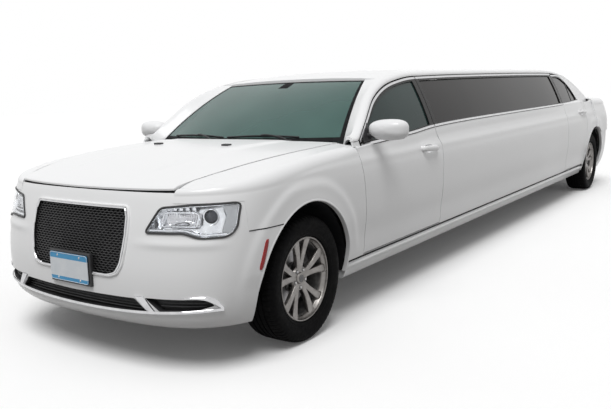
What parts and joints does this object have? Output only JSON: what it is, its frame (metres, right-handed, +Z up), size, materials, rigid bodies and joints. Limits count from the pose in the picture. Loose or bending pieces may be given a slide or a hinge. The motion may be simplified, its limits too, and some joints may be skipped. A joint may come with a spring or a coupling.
{
  "type": "stretch limousine",
  "caption": "White stretch limousine, a saloon lengthened between its doors, with opening doors, hood and trunk, steered front wheels and rolling wheels.",
  "frame": {"origin": "on the ground, under the middle of the overall length and width", "axes": "+X towards the front of the car, +Y to its left, +Z up"},
  "size_m": [8.6005, 2.238, 1.5251],
  "materials": {
    "white_paint": "gloss",
    "black_plastic": "semi-gloss",
    "soft_plastic": "matt grained",
    "underbody": "matt sealed",
    "cast_metal": "cast",
    "brushed_metal": "satin",
    "silver_alloy": "painted silver, satin",
    "chrome": "polished",
    "tyre": "matt",
    "green_glass": "polished",
    "dark_glass": "polished",
    "clear_lens": "polished",
    "red_lens": "polished",
    "plate": "reflective sheet",
    "leather": "grained"
  },
  "bodies": {
    "body": {"floor_pan": "underbody", "sills": "white_paint", "side_panels": "white_paint", "rear_quarters": "white_paint", "pillars": "white_paint", "roof": "white_paint", "front_fenders": "white_paint", "front_bumper": "white_paint", "rear_bumper": "white_paint", "grille": "black_plastic", "headlamps": "clear_lens", "tail_lamps": "red_lens", "cowl": "black_plastic", "windscreen": "green_glass", "rear_window": "dark_glass", "side_windows": "dark_glass", "licence_plate": "plate", "engine": "cast_metal", "exhaust": "brushed_metal", "fuel_tank": "black_plastic", "front_suspension": "cast_metal", "driveline": "cast_metal", "dashboard": "soft_plastic", "front_seats": "leather", "partition": "soft_plastic", "lounge_seats": "leather"},
    "hood": {"hood": "white_paint"},
    "trunk_lid": {"trunk_lid": "white_paint"},
    "left_front_door": {"left_front_door": "white_paint", "left_front_glass": "green_glass", "left_mirror": "white_paint"},
    "left_rear_door": {"left_rear_door": "white_paint", "left_rear_glass": "dark_glass"},
    "left_knuckle": {"left_knuckle": "cast_metal"},
    "right_front_door": {"right_front_door": "white_paint", "right_front_glass": "green_glass", "right_mirror": "white_paint"},
    "right_rear_door": {"right_rear_door": "white_paint", "right_rear_glass": "dark_glass"},
    "right_knuckle": {"right_knuckle": "cast_metal"},
    "front_left_wheel": {"front_left_tyre": "tyre", "front_left_rim": "silver_alloy"},
    "front_right_wheel": {"front_right_tyre": "tyre", "front_right_rim": "silver_alloy"},
    "rear_left_wheel": {"rear_left_tyre": "tyre", "rear_left_rim": "silver_alloy"},
    "rear_right_wheel": {"rear_right_tyre": "tyre", "rear_right_rim": "silver_alloy"},
    "steering_wheel": {"steering_wheel": "leather"}
  },
  "joints": [
    {"name": "left_front_door_hinge", "type": "hinge", "parent": "body", "child": "left_front_door", "pos_m": [2.784, 0.951, 0.75], "axis": [0, 0, -1], "range_deg": [0, 65]},
    {"name": "right_front_door_hinge", "type": "hinge", "parent": "body", "child": "right_front_door", "pos_m": [2.784, -0.951, 0.75], "axis": [0, 0, 1], "range_deg": [0, 65]},
    {"name": "left_rear_door_hinge", "type": "hinge", "parent": "body", "child": "left_rear_door", "pos_m": [-1.984, 0.951, 0.75], "axis": [0, 0, -1], "range_deg": [0, 65]},
    {"name": "right_rear_door_hinge", "type": "hinge", "parent": "body", "child": "right_rear_door", "pos_m": [-1.984, -0.951, 0.75], "axis": [0, 0, 1], "range_deg": [0, 65]},
    {"name": "hood_hinge", "type": "hinge", "parent": "body", "child": "hood", "pos_m": [2.84, 0, 1.064], "axis": [0, -1, 0], "range_deg": [0, 55]},
    {"name": "trunk_hinge", "type": "hinge", "parent": "body", "child": "trunk_lid", "pos_m": [-3.368, 0, 1.178], "axis": [0, 1, 0], "range_deg": [0, 75]},
    {"name": "left_steer", "type": "hinge", "parent": "body", "child": "left_knuckle", "pos_m": [3.4, 0.7305, 0.355], "axis": [0, 0, 1], "range_deg": [-32, 32]},
    {"name": "right_steer", "type": "hinge", "parent": "body", "child": "right_knuckle", "pos_m": [3.4, -0.7305, 0.355], "axis": [0, 0, 1], "range_deg": [-32, 32]},
    {"name": "steering_wheel_turn", "type": "hinge", "parent": "body", "child": "steering_wheel", "pos_m": [2.5, 0.38, 0.93], "axis": [-0.9063, 0, 0.4226], "range_deg": [-480, 480]},
    {"name": "front_left_spin", "type": "hinge", "parent": "left_knuckle", "child": "front_left_wheel", "pos_m": [3.4, 0.8055, 0.355], "axis": [0, 1, 0], "continuous": true},
    {"name": "front_right_spin", "type": "hinge", "parent": "right_knuckle", "child": "front_right_wheel", "pos_m": [3.4, -0.8055, 0.355], "axis": [0, 1, 0], "continuous": true},
    {"name": "rear_left_spin", "type": "hinge", "parent": "body", "child": "rear_left_wheel", "pos_m": [-3.208, 0.8055, 0.355], "axis": [0, 1, 0], "continuous": true},
    {"name": "rear_right_spin", "type": "hinge", "parent": "body", "child": "rear_right_wheel", "pos_m": [-3.208, -0.8055, 0.355], "axis": [0, 1, 0], "continuous": true}
  ],
  "couplings": [
    {"joint": "right_steer", "follows": "left_steer", "ratio": 1},
    {"joint": "steering_wheel_turn", "follows": "left_steer", "ratio": 15}
  ]
}
